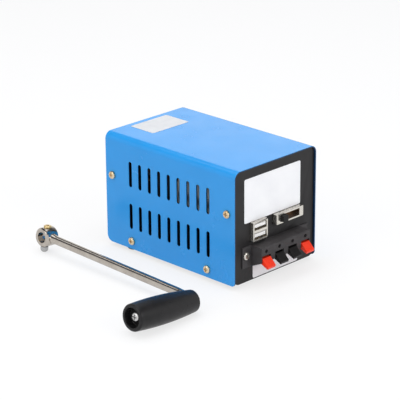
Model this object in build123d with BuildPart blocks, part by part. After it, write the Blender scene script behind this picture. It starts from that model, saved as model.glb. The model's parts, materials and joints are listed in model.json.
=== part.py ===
from build123d import *
import os
from math import acos, asin, cos, pi, radians, sin, sqrt, tan

# Hand crank phone charger: a sheet-metal cabinet with a geared generator inside, sockets on the
# front panel, a drive shaft out of the rear panel, and a loose crank that lies beside it.
# Millimetres. While it is modelled, X is to the right seen from the front, the front panel faces
# -Y, +Z is up, the cabinet's axis is at X = 0, Y = 0 and the table is at Z = 0.

# ---- cabinet ---------------------------------------------------------------------------------
cover_width = 84.0
cover_length = 130.0
cover_height = 84.5
cover_sheet = 1.0
cover_bend = 5.5
cover_rear_corner = 5.0
cover_front_corner = 3.0
chassis_sheet = 1.2
chassis_bend = 4.5
sheet_gap = 0.15
panel_setback = 1.3
flange_depth = 10.0
lip_height = 12.0
flange_drop = 7.0
foot_height = 3.2
foot_radius = 5.5
foot_spread = 45.3
rear_foot_inset = 9.0
front_foot_inset = 20.0

slot_count = 9
slot_pitch = 9.8
slot_length = 19.4
slot_width = 3.2
slot_row_heights = (25.4, 57.7)

side_screw_end_gap = 7.1
side_screw_upper_height = 52.9
side_screw_lower_spread = 38.4
side_screw_lower_height = 6.4
side_screw_length = 6.0

# ---- screws ----------------------------------------------------------------------------------
screw_radius = 1.45
screw_hole_radius = 1.6
screw_head_radius = 2.9
screw_head_height = 1.9
case_screw_radius = 1.0
case_screw_head_radius = 1.8
case_screw_head_height = 1.3
board_screw_grip = 5.0

# ---- labels ----------------------------------------------------------------------------------
label_thickness = 0.2
main_label_width = 57.5
main_label_x = -2.3
main_label_top_gap = 8.1
main_label_bottom_gap = 0.3
lower_label_size = (46.5, 9.8)
lower_label_centre = (0.8, 5.8)
top_label_size = (36.5, 23.7)
top_label_centre = (-2.8, 48.4)
label_corner = 1.2

# ---- spring terminal on the front panel --------------------------------------------------------
terminal_x = 0.3
terminal_width = 50.4
terminal_top = 26.8
terminal_bottom = 10.9
terminal_depth = 11.0
terminal_chin = 15.6
ear_reach = 8.6
ear_thickness = 0.8
ear_screw_inset = 5.4
ear_screw_height = 20.3
lever_width = 8.1
lever_end_wall = 0.5
lever_play = 0.4
lever_back_gap = 1.1
lever_root = 18.9
lever_reach = 5.2
lever_thickness = 2.6
lever_pivot_depth = 6.2
lever_pivot_height = 16.6
lever_boss_radius = 2.0
lever_rod_radius = 0.8
pin_play = 0.05
chamber_roof = 20.6
chamber_back = 2.6
wire_hole_radius = 1.4
wire_hole_height = 23.6
wire_hole_depth = 7.0
contact_width = 4.0
contact_thickness = 0.8
contact_tail = 6.0
spring_thickness = 0.4
spring_width = 5.0

# ---- double USB socket -------------------------------------------------------------------------
usb_x = -17.5
usb_bottom = 29.4
usb_width = 14.8
usb_height = 14.4
usb_depth = 18.0
usb_reveal = 3.0
usb_wall = 0.4
port_width = 12.5
port_height = 5.1
port_spacing = 7.1
port_depth = 9.0
tongue_width = 11.1
tongue_thickness = 2.4
tongue_roof_gap = 0.9
tongue_reach = 8.4
usb_slot_size = (1.4, 0.7, 0.5)
usb_slot_pitch = 4.3
usb_slot_count = 3
usb_pin_width = 1.0
usb_pin_pitch = 2.5
usb_pin_thickness = 0.25
panel_gap = 0.4

# ---- slide switch ------------------------------------------------------------------------------
switch_x = 12.1
switch_bottom = 36.0
switch_width = 27.8
switch_height = 7.6
switch_reveal = 3.8
switch_depth = 12.0
switch_wall = 0.6
window_width = 20.0
window_height = 5.2
switch_positions = 6
knob_width = 5.4
knob_height = 4.4
knob_reach = 2.8
knob_play = 0.3
knob_flange = 1.4
switch_base_depth = 5.0
notch_size = (1.4, 0.9)
notch_pitch = 3.2
notch_start = 6.7
notch_setback = 0.8
switch_pin_count = 7
switch_pin_pitch = 2.54
switch_pin_size = 0.7

# ---- circuit board -----------------------------------------------------------------------------
board_width = 68.0
board_depth = 17.0
board_thickness = 1.6
board_gap = 0.6
standoff_spread = 31.0
standoff_setback = 4.5
standoff_radius = 2.75
component_setback = 5.5
component_gap = 2.0
capacitor_gap = 1.0
capacitor_radius = 4.0
capacitor_height = 12.0
inductor_radius = 5.0
inductor_height = 8.0
rectifier_size = (12.0, 4.0, 10.0)
regulator_size = (10.0, 4.5, 15.5)

# ---- generator ---------------------------------------------------------------------------------
bay_depth = 21.0
can_radius = 25.0
can_length = 49.0
can_wall = 1.5
end_bell_thickness = 3.0
magnet_thickness = 4.0
magnet_arc = 140.0
magnet_margin = 4.0
air_gap = 0.7
pole_count = 5
core_length = 30.0
core_front_gap = 6.0
core_slot_size = (8.0, 2.0)
coil_radius = 4.2
coil_circle = 12.4
coil_play = 0.3
end_turn_thickness = 3.0
end_turn_inner = 7.0
end_turn_overhang = 0.6
commutator_radius = 4.8
commutator_length = 5.5
brush_width = 3.4
brush_reach = 6.0
rotor_shaft_radius = 2.0
rotor_bearing_radius = 4.5
rotor_bearing_length = 5.5
running_play = 0.04
seat_play = 0.02

# ---- gears -------------------------------------------------------------------------------------
gear_module = 0.7
pressure_angle = 25.0
wheel_teeth = 48
pinion_teeth = 12
tooth_play = 0.1
gear_width = 7.0
gear_gap = 1.5
idler_angle = -60.0
idler_axle_radius = 1.5
case_wall = 3.5
case_foot_gap = 2.0
case_foot_width = 36.0
case_plate = 3.0
case_screw_count = 6

# ---- drive shaft -------------------------------------------------------------------------------
journal_radius = 4.4
journal_end_gap = 0.5
shaft_radius = 4.0
shaft_reach = 18.0
shaft_flat = 0.5
shaft_flat_length = 7.3
relief_width = 0.6
relief_depth = 0.3
shaft_bearing_radius = 8.0
shaft_bearing_length = 6.0
bush_radius = 7.0
bush_flange_radius = 9.5
bush_flange = 2.0
bush_length = 6.0

# ---- generator cradle --------------------------------------------------------------------------
cradle_front_gap = 8.0
cradle_depth = 12.0
cradle_screw_spread = 14.0
base_screw_head_height = 1.6
base_screw_length = 6.0

# ---- crank -------------------------------------------------------------------------------------
crank_radius = 154.0
crank_aside = 40.2
crank_behind = 21.8
crank_roll = 5.6
hub_radius = 7.2
hub_length = 11.0
hub_chamfer = 0.9
hub_bore_play = 0.04
arm_rod_radius = 3.15
flare_radius = 4.2
flare_length = 4.0
eye_width = 7.0
eye_thickness = 3.0
eye_offset = 1.3
eye_length = 9.0
eye_taper = 8.0
upper_screw_reach = 1.2
lower_screw_reach = 4.2
lower_screw_offset = 2.0
set_screw_head_radius = 2.9
set_screw_radius = 1.9
grip_length = 57.0
grip_inner_radius = 7.75
grip_belly_radius = 10.15
grip_belly_place = 37.0
grip_rim = 1.3
grip_counterbore_radius = 7.0
grip_counterbore_depth = 5.7
grip_axle_radius = 2.5
grip_axle_head_radius = 3.5
grip_axle_head_height = 3.0
grip_play = 0.3
grip_bore_play = 0.08
grip_washer_radius = 6.0
grip_washer_thickness = 0.5

# ---- places that follow from the sizes ----------------------------------------------------------
base_z = foot_height
top_z = base_z + cover_height
half_width = cover_width / 2
half_length = cover_length / 2
chassis_half_width = half_width - cover_sheet - sheet_gap
chassis_top = top_z - cover_sheet - sheet_gap
panel_reach = half_length - panel_setback
panel_y = -panel_reach
panel_inside_y = panel_y + chassis_sheet
floor_z = base_z + chassis_sheet

wheel_radius = gear_module * wheel_teeth / 2
pinion_radius = gear_module * pinion_teeth / 2
centre_distance = wheel_radius + pinion_radius
case_radius = wheel_radius + gear_module + 1.0 + case_wall
idler_drop = -centre_distance * sin(radians(idler_angle))
idler_x = centre_distance * cos(radians(idler_angle))
axle_z = floor_z + case_foot_gap + case_radius + idler_drop
idler_z = axle_z - idler_drop

can_front_y = panel_inside_y + bay_depth
can_back_y = can_front_y + can_length
case_front_y = can_back_y + end_bell_thickness
first_wheel_y = case_front_y + case_plate + gear_gap
second_wheel_y = first_wheel_y + gear_width + gear_gap
case_back_y = second_wheel_y + gear_width + gear_gap
case_end_y = case_back_y + case_plate
bearing_end_y = case_back_y + shaft_bearing_length
journal_end_y = panel_reach + bush_flange + journal_end_gap
shaft_end_y = half_length + shaft_reach

board_top_z = base_z + usb_bottom
board_front_y = panel_inside_y + board_gap
board_back_y = board_front_y + board_depth
standoff_y = board_front_y + standoff_setback

pieces = []


def keep(part, label):
    """Name a finished piece and put it with the others."""
    part.label = label
    part.color = None
    pieces.append(part)


def facing_front(y, x=0.0, z=0.0):
    """Plane at depth y that faces the front: its own X is X and its own Y is Z."""
    return Plane(origin=(x, y, z), x_dir=(1, 0, 0), z_dir=(0, -1, 0))


def round_bar(front_y, back_y, radius, x=0.0, z=axle_z, mode=Mode.ADD):
    """Cylinder parallel to the drive shaft, from front_y back to back_y."""
    with BuildSketch(facing_front(back_y, x, z)) as disc:
        Circle(radius)
    extrude(disc.sketch, amount=back_y - front_y, mode=mode)


def block(x_span, y_span, z_span, mode=Mode.ADD):
    """Box between two values on each axis."""
    spans = (x_span, y_span, z_span)
    middle = tuple((low + high) / 2 for low, high in spans)
    with Locations(middle):
        Box(*(high - low for low, high in spans), mode=mode)


def about(middle, size):
    """The span of a size centred on a value."""
    return (middle - size / 2, middle + size / 2)


def pan_screw(head_radius, head_height, shank_radius, shank_length):
    """Pan-head screw with a cross recess, its head's seat at the origin and its head up."""
    with BuildPart() as screw:
        with BuildSketch():
            Circle(head_radius)
        extrude(amount=head_height)
        fillet(screw.edges().group_by(Axis.Z)[-1], head_height * 0.55)
        with BuildSketch(Plane.XY.offset(head_height)):
            Rectangle(head_radius * 1.1, head_radius * 0.24)
            Rectangle(head_radius * 0.24, head_radius * 1.1)
        extrude(amount=-head_height * 0.5, mode=Mode.SUBTRACT)
        with BuildSketch():
            Circle(shank_radius)
        extrude(amount=-shank_length)
    return screw.part


# ---- cover: one sheet bent to an upturned U, with slots down both sides -------------------------
side_screw_spots = [
    (end * (half_length - side_screw_end_gap), base_z + side_screw_upper_height) for end in (-1, 1)
] + [(end * side_screw_lower_spread, base_z + side_screw_lower_height) for end in (-1, 1)]

with BuildPart() as cover:
    with BuildSketch(Plane.XZ):
        with Locations((0, (base_z + top_z) / 2)):
            outer = Rectangle(cover_width, cover_height)
        fillet(outer.vertices().group_by(Axis.Y)[-1], cover_bend)
    extrude(amount=half_length, both=True)
    with BuildSketch(Plane.XZ):
        with Locations((0, (base_z + top_z) / 2 - cover_sheet)):
            inner = Rectangle(cover_width - 2 * cover_sheet, cover_height)
        fillet(inner.vertices().group_by(Axis.Y)[-1], cover_bend - cover_sheet)
    extrude(amount=half_length, both=True, mode=Mode.SUBTRACT)
    foot_edges = cover.edges().filter_by(Axis.X).group_by(Axis.Z)[0]
    fillet(foot_edges.group_by(Axis.Y)[0], cover_front_corner)
    foot_edges = cover.edges().filter_by(Axis.X).group_by(Axis.Z)[0]
    fillet(foot_edges.group_by(Axis.Y)[-1], cover_rear_corner)
    with BuildSketch(Plane.YZ):
        for height in slot_row_heights:
            with Locations((0, base_z + height)):
                with GridLocations(slot_pitch, 1, slot_count, 1):
                    SlotOverall(slot_length, slot_width, rotation=90)
        with Locations(side_screw_spots):
            Circle(screw_hole_radius)
    extrude(amount=half_width + 1, both=True, mode=Mode.SUBTRACT)
keep(cover.part, "cover")


# ---- chassis: folded tray of floor, front panel, rear panel and side flanges ---------------------
def chassis_outline(inset):
    """Cross-section of the tray's outside, drawn in by inset."""
    width = 2 * (chassis_half_width - inset)
    height = chassis_top - base_z - 2 * inset
    with BuildSketch(Plane.XZ) as outline:
        with Locations((0, (chassis_top + base_z) / 2)):
            Rectangle(width, height)
        fillet(outline.vertices().group_by(Axis.Y)[0], chassis_bend - inset)
        fillet(outline.vertices().group_by(Axis.Y)[-1], cover_bend - cover_sheet - sheet_gap - inset)
    return outline.sketch


ear_screw_z = base_z + ear_screw_height
ear_width = terminal_width + 2 * ear_reach
ear_screw_spread = terminal_width / 2 + ear_screw_inset
contact_z = base_z + wire_hole_height
lever_slot_width = lever_width + 2 * lever_play
lever_pitch = (terminal_width - 2 * lever_end_wall - lever_slot_width) / 3
lever_places = [terminal_x + lever_pitch * (index - 1.5) for index in range(4)]
base_screw_spots = [
    (side * cradle_screw_spread, can_front_y + cradle_front_gap + cradle_depth / 2) for side in (-1, 1)
] + [
    (idler_x + side * (case_foot_width / 2 - 4.0), (case_front_y + case_end_y) / 2) for side in (-1, 1)
]
standoff_spots = [(side * standoff_spread, standoff_y) for side in (-1, 1)]

with BuildPart() as chassis:
    extrude(chassis_outline(0), amount=panel_reach, both=True)
    extrude(chassis_outline(chassis_sheet), amount=panel_reach - chassis_sheet, both=True, mode=Mode.SUBTRACT)
    window_top = chassis_top + 1
    flange_span = panel_reach - chassis_sheet - flange_depth
    block(
        (-half_width, half_width),
        (-flange_span, flange_span),
        (base_z + lip_height, window_top),
        Mode.SUBTRACT,
    )
    inner_reach = panel_reach - chassis_sheet
    block(
        (-half_width, half_width),
        (-inner_reach, inner_reach),
        (top_z - flange_drop, window_top),
        Mode.SUBTRACT,
    )
    with BuildSketch(facing_front(panel_y)):
        with Locations((usb_x, base_z + usb_bottom + usb_height / 2)):
            Rectangle(usb_width + 2 * panel_gap, usb_height + 2 * panel_gap)
        with Locations((switch_x, base_z + switch_bottom + switch_height / 2)):
            Rectangle(switch_width + 2 * panel_gap, switch_height + 2 * panel_gap)
        with Locations([(x, contact_z) for x in lever_places]):
            Rectangle(contact_width + 2 * panel_gap, contact_thickness + 2 * panel_gap)
        with Locations([(terminal_x + side * ear_screw_spread, ear_screw_z) for side in (-1, 1)]):
            Circle(screw_hole_radius)
    extrude(amount=-chassis_sheet, mode=Mode.SUBTRACT)
    with BuildSketch(facing_front(panel_reach, 0, axle_z)):
        Circle(bush_radius)
    extrude(amount=chassis_sheet, mode=Mode.SUBTRACT)
    with BuildSketch(Plane.YZ):
        with Locations(side_screw_spots):
            Circle(screw_hole_radius)
    extrude(amount=half_width, both=True, mode=Mode.SUBTRACT)
    with BuildSketch(Plane.XY.offset(base_z)):
        with Locations(standoff_spots + base_screw_spots):
            Circle(screw_hole_radius)
    extrude(amount=chassis_sheet, mode=Mode.SUBTRACT)
keep(chassis.part, "chassis")

side_screw = pan_screw(screw_head_radius, screw_head_height, screw_radius, side_screw_length)
with BuildPart() as side_screws:
    for side in (-1, 1):
        for y, z in side_screw_spots:
            with Locations(Plane(origin=(side * half_width, y, z), x_dir=(0, 1, 0), z_dir=(side, 0, 0))):
                add(side_screw)
keep(side_screws.part, "side_screws")

foot_spots = [(side * (half_width - rear_foot_inset), foot_spread) for side in (-1, 1)] + [
    (side * (half_width - front_foot_inset), -foot_spread) for side in (-1, 1)
]
with BuildPart() as feet:
    with BuildSketch(Plane.XY.offset(base_z)):
        with Locations(foot_spots):
            Circle(foot_radius)
    extrude(amount=-foot_height)
    fillet(feet.edges().group_by(Axis.Z)[0], foot_height * 0.25)
keep(feet.part, "feet")


# ---- stickers: blank rectangles with rounded corners ---------------------------------------------
def sticker(plane, size, centre):
    """Thin blank label lying on a plane."""
    with BuildPart() as label:
        with BuildSketch(plane):
            with Locations(centre):
                RectangleRounded(*size, label_corner)
        extrude(amount=label_thickness)
    return label.part


main_label_top = cover_height - main_label_top_gap
main_label_bottom = switch_bottom + switch_height + main_label_bottom_gap
main_label_size = (main_label_width, main_label_top - main_label_bottom)
main_label_centre = (main_label_x, (main_label_top + main_label_bottom) / 2)
keep(sticker(facing_front(panel_y, 0, base_z), main_label_size, main_label_centre), "main_label")
keep(sticker(facing_front(panel_y, 0, base_z), lower_label_size, lower_label_centre), "lower_label")
keep(sticker(Plane.XY.offset(top_z), top_label_size, top_label_centre), "top_label")

# ---- spring terminal: moulded block on an eared plate, with four push levers ----------------------
terminal_front_y = panel_y - terminal_depth
terminal_span = about(terminal_x, terminal_width)
chamber_back_y = panel_y - chamber_back
pivot_y = panel_y - lever_pivot_depth
pivot_z = base_z + lever_pivot_height
roof_z = base_z + chamber_roof

with BuildPart() as terminal_body:
    with BuildSketch(Plane.YZ.offset(terminal_span[0])):
        with BuildLine():
            Polyline(
                (panel_y, base_z + terminal_bottom),
                (panel_y, base_z + terminal_top),
                (terminal_front_y, base_z + terminal_top),
                (terminal_front_y, base_z + terminal_chin),
                (panel_y - ear_thickness, base_z + terminal_bottom),
                close=True,
            )
        make_face()
    extrude(amount=terminal_width)
    fillet(terminal_body.edges().filter_by(Axis.X).sort_by(Axis.Z)[-1], 0.8)
    block(
        about(terminal_x, ear_width),
        (panel_y - ear_thickness, panel_y),
        (base_z + terminal_bottom, base_z + terminal_top),
    )
    for x in lever_places:
        block(
            about(x, lever_slot_width),
            (terminal_front_y - 1, chamber_back_y),
            (base_z, roof_z),
            Mode.SUBTRACT,
        )
        round_bar(terminal_front_y - 1, terminal_front_y + wire_hole_depth, wire_hole_radius, x,
                  base_z + wire_hole_height, Mode.SUBTRACT)
        block(
            about(x, contact_width),
            (terminal_front_y + wire_hole_depth - 1, panel_y),
            about(contact_z, contact_thickness),
            Mode.SUBTRACT,
        )
    with BuildSketch(Plane.YZ.offset(terminal_span[0] + 1)):
        with Locations((pivot_y, pivot_z)):
            Circle(lever_rod_radius + pin_play)
    extrude(amount=terminal_width - 2, mode=Mode.SUBTRACT)
    for side in (-1, 1):
        round_bar(panel_y - ear_thickness, panel_y, screw_hole_radius, terminal_x + side * ear_screw_spread,
                  ear_screw_z, Mode.SUBTRACT)
keep(terminal_body.part, "terminal_body")

lever_back_y = chamber_back_y - lever_back_gap
lever_top_z = base_z + lever_root
tab_drop = lever_reach
lever_names = ("lever_red_left", "lever_black_left", "lever_black_right", "lever_red_right")
for name, x in zip(lever_names, lever_places):
    with BuildPart() as lever:
        with BuildSketch(Plane.YZ.offset(x - lever_width / 2)):
            with BuildLine():
                Polyline(
                    (lever_back_y, lever_top_z),
                    (terminal_front_y, lever_top_z),
                    (terminal_front_y - lever_reach, lever_top_z - tab_drop),
                    (terminal_front_y - lever_reach + 0.5, lever_top_z - tab_drop - lever_thickness * 0.6),
                    (terminal_front_y + 1.0, lever_top_z - lever_thickness - 1.6),
                    (pivot_y - lever_boss_radius, pivot_z - lever_boss_radius * 0.8),
                    (lever_back_y, pivot_z - lever_boss_radius * 0.8),
                    close=True,
                )
            make_face()
        extrude(amount=lever_width)
        with BuildSketch(Plane.YZ.offset(x - lever_width / 2)):
            with Locations((pivot_y, pivot_z)):
                Circle(lever_rod_radius + pin_play)
        extrude(amount=lever_width, mode=Mode.SUBTRACT)
    keep(lever.part, name)

with BuildPart() as lever_rod:
    with BuildSketch(Plane.YZ.offset(terminal_span[0] + 1)):
        with Locations((pivot_y, pivot_z)):
            Circle(lever_rod_radius)
    extrude(amount=terminal_width - 2)
keep(lever_rod.part, "lever_rod")

with BuildPart() as terminal_contacts:
    for x in lever_places:
        block(
            about(x, contact_width),
            (terminal_front_y + wire_hole_depth, panel_inside_y + contact_tail),
            about(contact_z, contact_thickness),
        )
keep(terminal_contacts.part, "terminal_contacts")

with BuildPart() as lever_springs:
    for x in lever_places:
        block(
            about(x, spring_width),
            (chamber_back_y - spring_thickness, chamber_back_y),
            (base_z + terminal_bottom + 1, roof_z),
        )
        block(
            about(x, spring_width),
            (pivot_y, chamber_back_y - spring_thickness),
            (roof_z - spring_thickness, roof_z),
        )
keep(lever_springs.part, "lever_springs")

ear_screw_length = ear_thickness + chassis_sheet + 1.6
ear_screw = pan_screw(screw_head_radius, screw_head_height, screw_radius, ear_screw_length)
with BuildPart() as terminal_screws:
    for side in (-1, 1):
        x = terminal_x + side * ear_screw_spread
        with Locations(facing_front(panel_y - ear_thickness, x, ear_screw_z)):
            add(ear_screw)
keep(terminal_screws.part, "terminal_screws")

# ---- double USB socket: plated shell, white insulator with two tongues, contact strips ------------
usb_front_y = panel_y - usb_reveal
usb_back_y = usb_front_y + usb_depth
usb_middle_z = base_z + usb_bottom + usb_height / 2
port_heights = [usb_middle_z + side * port_spacing / 2 for side in (-1, 1)]
port_back_y = usb_front_y + port_depth

with BuildPart() as usb_shell:
    with BuildSketch(facing_front(usb_back_y, usb_x, usb_middle_z)):
        RectangleRounded(usb_width, usb_height, usb_wall * 1.5)
    extrude(amount=usb_depth)
    for z in port_heights:
        block(about(usb_x, port_width), (usb_front_y, port_back_y), about(z, port_height), Mode.SUBTRACT)
    block(
        about(usb_x, usb_width - 2 * usb_wall),
        (port_back_y, usb_back_y),
        about(usb_middle_z, usb_height - 2 * usb_wall),
        Mode.SUBTRACT,
    )
    for index in range(usb_slot_count):
        block(
            about(usb_x + (index - (usb_slot_count - 1) / 2) * usb_slot_pitch, usb_slot_size[0]),
            about(panel_y - notch_setback, usb_slot_size[1]),
            (usb_middle_z + usb_height / 2 - usb_slot_size[2], usb_middle_z + usb_height / 2),
            Mode.SUBTRACT,
        )
keep(usb_shell.part, "usb_shell")

tongue_front_y = port_back_y - tongue_reach
with BuildPart() as usb_insulator:
    block(
        about(usb_x, usb_width - 2 * usb_wall),
        (port_back_y, usb_back_y),
        about(usb_middle_z, usb_height - 2 * usb_wall),
    )
    for z in port_heights:
        tongue_z = z + port_height / 2 - tongue_roof_gap - tongue_thickness / 2
        block(about(usb_x, tongue_width), (tongue_front_y, port_back_y), about(tongue_z, tongue_thickness))
keep(usb_insulator.part, "usb_insulator")

with BuildPart() as usb_contacts:
    for z in port_heights:
        strip_z = z + port_height / 2 - tongue_roof_gap - tongue_thickness - usb_pin_thickness / 2
        for index in range(4):
            block(
                about(usb_x + (index - 1.5) * usb_pin_pitch, usb_pin_width),
                (tongue_front_y + 0.8, port_back_y),
                about(strip_z, usb_pin_thickness),
            )
keep(usb_contacts.part, "usb_contacts")

# ---- slide switch: plated frame round a brown base, black knob, pins down to the board ------------
switch_front_y = panel_y - switch_reveal
switch_back_y = switch_front_y + switch_depth
switch_middle_z = base_z + switch_bottom + switch_height / 2
knob_travel = window_width - knob_width - 2 * knob_play
knob_x = switch_x - knob_travel / 2

with BuildPart() as switch_frame:
    with BuildSketch(facing_front(switch_back_y, switch_x, switch_middle_z)):
        RectangleRounded(switch_width, switch_height, switch_wall)
    extrude(amount=switch_depth)
    block(
        about(switch_x, switch_width - 2 * switch_wall),
        (switch_front_y + switch_wall, switch_back_y),
        about(switch_middle_z, switch_height - 2 * switch_wall),
        Mode.SUBTRACT,
    )
    block(
        about(switch_x, window_width),
        (switch_front_y, switch_front_y + switch_wall),
        about(switch_middle_z, window_height),
        Mode.SUBTRACT,
    )
    for index in range(switch_positions):
        block(
            about(switch_x - switch_width / 2 + notch_start + index * notch_pitch, notch_size[0]),
            about(panel_y - notch_setback, notch_size[1]),
            (switch_middle_z + switch_height / 2 - switch_wall, switch_middle_z + switch_height / 2),
            Mode.SUBTRACT,
        )
keep(switch_frame.part, "switch_frame")

with BuildPart() as switch_base:
    block(
        about(switch_x, switch_width - 2 * switch_wall),
        (switch_back_y - switch_base_depth, switch_back_y),
        about(switch_middle_z, switch_height - 2 * switch_wall),
    )
keep(switch_base.part, "switch_base")

flange_front_y = switch_front_y + switch_wall + 0.1
flange_back_y = switch_back_y - switch_base_depth - 0.1
with BuildPart() as switch_knob:
    block(
        about(knob_x, knob_width),
        (switch_front_y - knob_reach, flange_front_y),
        about(switch_middle_z, knob_height),
    )
    fillet(switch_knob.edges().filter_by(Axis.Z).group_by(Axis.Y)[0], 0.6)
    block(
        (knob_x - knob_width / 2, knob_x + knob_width / 2),
        (flange_front_y, flange_front_y + knob_flange),
        about(switch_middle_z, switch_height - 2 * switch_wall - 2 * knob_play),
    )
    block(
        about(knob_x, knob_width * 0.6),
        (flange_front_y + knob_flange, flange_back_y),
        about(switch_middle_z, knob_height * 0.6),
    )
keep(switch_knob.part, "switch_knob")

with BuildPart() as switch_pins:
    for index in range(switch_pin_count):
        x = switch_x + (index - (switch_pin_count - 1) / 2) * switch_pin_pitch
        block(
            about(x, switch_pin_size),
            (switch_back_y, switch_back_y + switch_pin_size),
            (board_top_z, switch_middle_z),
        )
keep(switch_pins.part, "switch_pins")

# ---- circuit board on two pillars, with the parts that make the charging voltage ------------------
with BuildPart() as circuit_board:
    block(
        (-board_width / 2, board_width / 2),
        (board_front_y, board_back_y),
        (board_top_z - board_thickness, board_top_z),
    )
    with BuildSketch(Plane.XY.offset(board_top_z)):
        with Locations(standoff_spots):
            Circle(screw_hole_radius)
    extrude(amount=-board_thickness, mode=Mode.SUBTRACT)
keep(circuit_board.part, "circuit_board")

pillar_height = board_top_z - board_thickness - floor_z
with BuildPart() as board_pillars:
    with BuildSketch(Plane.XY.offset(floor_z)):
        with Locations(standoff_spots):
            RegularPolygon(standoff_radius, 6)
            Circle(screw_radius + seat_play, mode=Mode.SUBTRACT)
    extrude(amount=pillar_height)
keep(board_pillars.part, "board_pillars")

upper_board_screw = pan_screw(
    screw_head_radius, base_screw_head_height, screw_radius, board_thickness + board_screw_grip
)
lower_board_screw = pan_screw(
    screw_head_radius, base_screw_head_height, screw_radius, chassis_sheet + board_screw_grip
)
with BuildPart() as board_screws:
    for x, y in standoff_spots:
        with Locations((x, y, board_top_z)):
            add(upper_board_screw)
        with Locations(Plane(origin=(x, y, base_z), z_dir=(0, 0, -1))):
            add(lower_board_screw)
keep(board_screws.part, "board_screws")

component_y = board_back_y - component_setback
with BuildPart() as capacitor:
    with BuildSketch(Plane.XY.offset(board_top_z)):
        with Locations((usb_x - usb_width / 2 - capacitor_radius - capacitor_gap, component_y)):
            Circle(capacitor_radius)
    extrude(amount=capacitor_height)
    fillet(capacitor.edges().group_by(Axis.Z)[-1], 0.6)
keep(capacitor.part, "capacitor")

inductor_x = usb_x + usb_width / 2 + inductor_radius + 2 * component_gap
with BuildPart() as inductor:
    with BuildSketch(Plane.XY.offset(board_top_z)):
        with Locations((inductor_x, component_y)):
            Circle(inductor_radius)
    extrude(amount=inductor_height)
    with BuildSketch(Plane.XY.offset(board_top_z + inductor_height * 0.2)):
        with Locations((inductor_x, component_y)):
            Circle(inductor_radius)
            Circle(inductor_radius * 0.85, mode=Mode.SUBTRACT)
    extrude(amount=inductor_height * 0.6, mode=Mode.SUBTRACT)
keep(inductor.part, "inductor")

rectifier_x = inductor_x + inductor_radius + component_gap + rectifier_size[0] / 2
with BuildPart() as rectifier:
    block(
        about(rectifier_x, rectifier_size[0]),
        about(component_y, rectifier_size[1]),
        (board_top_z, board_top_z + rectifier_size[2]),
    )
keep(rectifier.part, "rectifier")

regulator_x = rectifier_x + rectifier_size[0] / 2 + component_gap + regulator_size[0] / 2
with BuildPart() as regulator:
    block(
        about(regulator_x, regulator_size[0]),
        about(component_y, regulator_size[1]),
        (board_top_z, board_top_z + regulator_size[2] * 0.6),
    )
    block(
        about(regulator_x, regulator_size[0]),
        (component_y + regulator_size[1] / 2 - 1.3, component_y + regulator_size[1] / 2),
        (board_top_z + regulator_size[2] * 0.6, board_top_z + regulator_size[2]),
    )
keep(regulator.part, "regulator")

# ---- generator: can with two magnets, wound rotor, brushes in the end bell ------------------------
can_bore = can_radius - can_wall
magnet_bore = can_bore - magnet_thickness
core_radius = magnet_bore - air_gap
core_front_y = can_front_y + can_wall + core_front_gap
core_back_y = core_front_y + core_length
front_bearing_y = can_front_y - 2.0

with BuildPart() as generator_can:
    round_bar(can_front_y, can_back_y, can_radius)
    fillet(generator_can.edges().filter_by(GeomType.CIRCLE).sort_by(Axis.Y)[0], 2.0)
    round_bar(front_bearing_y, can_front_y, rotor_bearing_radius + 2.0)
    round_bar(can_front_y + can_wall, can_back_y, can_bore, mode=Mode.SUBTRACT)
    round_bar(front_bearing_y, can_front_y + can_wall, rotor_bearing_radius, mode=Mode.SUBTRACT)
keep(generator_can.part, "generator_can")

with BuildPart() as end_bell:
    round_bar(can_back_y, case_front_y, can_radius)
    for side in (-1, 1):
        lug_x = commutator_radius + brush_reach
        block(
            tuple(sorted((side * lug_x, side * (lug_x + 3.0)))),
            (can_back_y - commutator_length, can_back_y),
            about(axle_z, brush_width + 3.0),
        )
    round_bar(can_back_y, case_front_y, rotor_bearing_radius, mode=Mode.SUBTRACT)
keep(end_bell.part, "end_bell")

with BuildPart() as magnets:
    with BuildSketch(facing_front(core_back_y + magnet_margin, 0, axle_z)):
        Circle(can_bore - seat_play)
        Circle(magnet_bore, mode=Mode.SUBTRACT)
        for side in (-1, 1):
            opening = 180.0 - magnet_arc
            edge = can_radius * tan(radians(opening / 2))
            with BuildLine():
                Polyline((0, 0), (edge, side * can_radius), (-edge, side * can_radius), close=True)
            make_face(mode=Mode.SUBTRACT)
    extrude(amount=core_length + 2 * magnet_margin)
keep(magnets.part, "magnets")

with BuildPart() as rotor_core:
    with BuildSketch(facing_front(core_back_y, 0, axle_z)):
        Circle(core_radius)
        Circle(rotor_shaft_radius + seat_play, mode=Mode.SUBTRACT)
        with PolarLocations(coil_circle, pole_count):
            Circle(coil_radius + coil_play, mode=Mode.SUBTRACT)
        with PolarLocations(core_radius, pole_count):
            Rectangle(*core_slot_size, mode=Mode.SUBTRACT)
    extrude(amount=core_length)
keep(rotor_core.part, "rotor_core")

with BuildPart() as rotor_winding:
    for back_y in (core_front_y, core_back_y + end_turn_thickness):
        with BuildSketch(facing_front(back_y, 0, axle_z)) as turns:
            Circle(coil_circle + coil_radius + end_turn_overhang)
            Circle(end_turn_inner, mode=Mode.SUBTRACT)
        extrude(amount=end_turn_thickness)
    with BuildSketch(facing_front(core_back_y, 0, axle_z)):
        with PolarLocations(coil_circle, pole_count):
            Circle(coil_radius)
    extrude(amount=core_length)
keep(rotor_winding.part, "rotor_winding")

commutator_back_y = can_back_y - 1.0
with BuildPart() as commutator:
    round_bar(commutator_back_y - commutator_length, commutator_back_y, commutator_radius)
    round_bar(commutator_back_y - commutator_length, commutator_back_y, rotor_shaft_radius + seat_play,
              mode=Mode.SUBTRACT)
keep(commutator.part, "commutator")

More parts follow.
